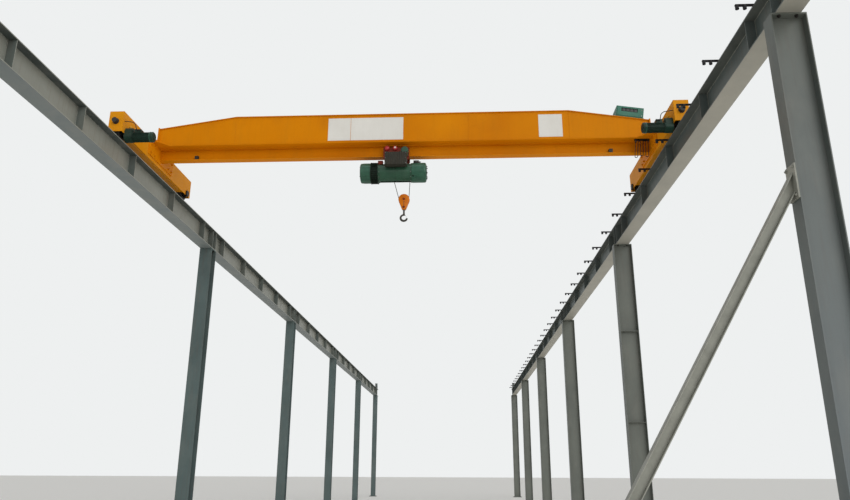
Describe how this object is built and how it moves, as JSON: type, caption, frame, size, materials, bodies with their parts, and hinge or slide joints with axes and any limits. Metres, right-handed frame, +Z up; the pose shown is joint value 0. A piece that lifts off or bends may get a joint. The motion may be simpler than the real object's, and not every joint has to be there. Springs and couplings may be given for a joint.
{
  "type": "overhead bridge crane",
  "caption": "Single girder overhead bridge crane with a wire rope hoist and hook block, on a runway of steel columns, beams and rails.",
  "frame": {"origin": "at the floor under the centre of the first left column's base plate", "axes": "+X across to the right row of columns, +Y along the runway, +Z up"},
  "size_m": [8.89, 38.5, 7.2921],
  "materials": {
    "grey_paint": "satin",
    "column_paint": "satin",
    "strut_paint": "satin",
    "rail_steel": "worn",
    "girder_paint": "satin",
    "drive_paint": "satin",
    "hoist_paint": "satin",
    "ring_paint": "satin",
    "cabinet_paint": "satin",
    "control_paint": "satin",
    "plate_paint": "satin",
    "block_paint": "satin",
    "dark_steel": "worn",
    "bracket_black": "matte",
    "buffer_rubber": "matte",
    "cable_sheath": "matte",
    "rope_steel": "greased",
    "bright_steel": "satin"
  },
  "bodies": {
    "runway": {"columns_left": "column_paint", "columns_right": "column_paint", "base_plates_left": "grey_paint", "base_plates_right": "grey_paint", "runway_beams_left": "grey_paint", "runway_beams_right": "grey_paint", "rail_left": "rail_steel", "rail_right": "rail_steel", "end_stops": "girder_paint", "conductor_brackets": "bracket_black", "raking_strut": "strut_paint"},
    "bridge": {"girder_box": "girder_paint", "hoist_track": "girder_paint", "girder_end_left": "girder_paint", "girder_end_right": "girder_paint", "end_truck_left": "girder_paint", "end_truck_right": "girder_paint", "bearing_housings": "dark_steel", "buffers": "buffer_rubber", "trolley_stops": "dark_steel", "travel_gearbox_left": "drive_paint", "travel_gearbox_right": "drive_paint", "travel_motor_left": "drive_paint", "travel_motor_right": "drive_paint", "electrical_cabinet": "cabinet_paint", "cabinet_feet": "dark_steel", "festoon_cable": "cable_sheath", "festoon_hanger": "dark_steel"},
    "near_left_wheel": {"wheel_left_near": "dark_steel"},
    "far_left_wheel": {"wheel_left_far": "dark_steel"},
    "near_right_wheel": {"wheel_right_near": "dark_steel"},
    "far_right_wheel": {"wheel_right_far": "dark_steel"},
    "hoist": {"trolley_plates": "plate_paint", "trolley_wheels": "dark_steel", "suspension_shafts": "dark_steel", "trolley_drive": "hoist_paint", "drum_housing": "hoist_paint", "rope_drum": "dark_steel", "hoist_motor": "hoist_paint", "brake_ring": "ring_paint", "hoist_gearbox": "hoist_paint", "control_box": "control_paint", "rope_falls": "rope_steel"},
    "hook_block": {"block_cheeks": "block_paint", "sheave": "dark_steel", "crosshead": "dark_steel"},
    "lifting_hook": {"hook": "block_paint", "hook_latch": "bright_steel"}
  },
  "joints": [
    {"name": "bridge_travel", "type": "slide", "parent": "runway", "child": "bridge", "axis": [0, 1, 0], "range_m": [-3.49, 31.79]},
    {"name": "near_left_roll", "type": "hinge", "parent": "bridge", "child": "near_left_wheel", "pos_m": [0, 3.355, 6.3983], "axis": [1, 0, 0], "continuous": true},
    {"name": "far_left_roll", "type": "hinge", "parent": "bridge", "child": "far_left_wheel", "pos_m": [0, 5.845, 6.3983], "axis": [1, 0, 0], "continuous": true},
    {"name": "near_right_roll", "type": "hinge", "parent": "bridge", "child": "near_right_wheel", "pos_m": [8.43, 3.355, 6.3983], "axis": [1, 0, 0], "continuous": true},
    {"name": "far_right_roll", "type": "hinge", "parent": "bridge", "child": "far_right_wheel", "pos_m": [8.43, 5.845, 6.3983], "axis": [1, 0, 0], "continuous": true},
    {"name": "hoist_travel", "type": "slide", "parent": "bridge", "child": "hoist", "axis": [1, 0, 0], "range_m": [-3.145, 3.385]},
    {"name": "hook_lift", "type": "slide", "parent": "hoist", "child": "hook_block", "axis": [0, 0, 1], "range_m": [-5.2, 0.2], "deforming": ["rope_falls"]},
    {"name": "hook_swivel", "type": "hinge", "parent": "hook_block", "child": "lifting_hook", "pos_m": [4.275, 4.6, 5.588], "axis": [0, 0, 1], "continuous": true}
  ],
  "couplings": [
    {"joint": "near_left_roll", "follows": "bridge_travel", "rad_per_m": -10},
    {"joint": "far_left_roll", "follows": "bridge_travel", "rad_per_m": -10},
    {"joint": "near_right_roll", "follows": "bridge_travel", "rad_per_m": -10},
    {"joint": "far_right_roll", "follows": "bridge_travel", "rad_per_m": -10}
  ]
}
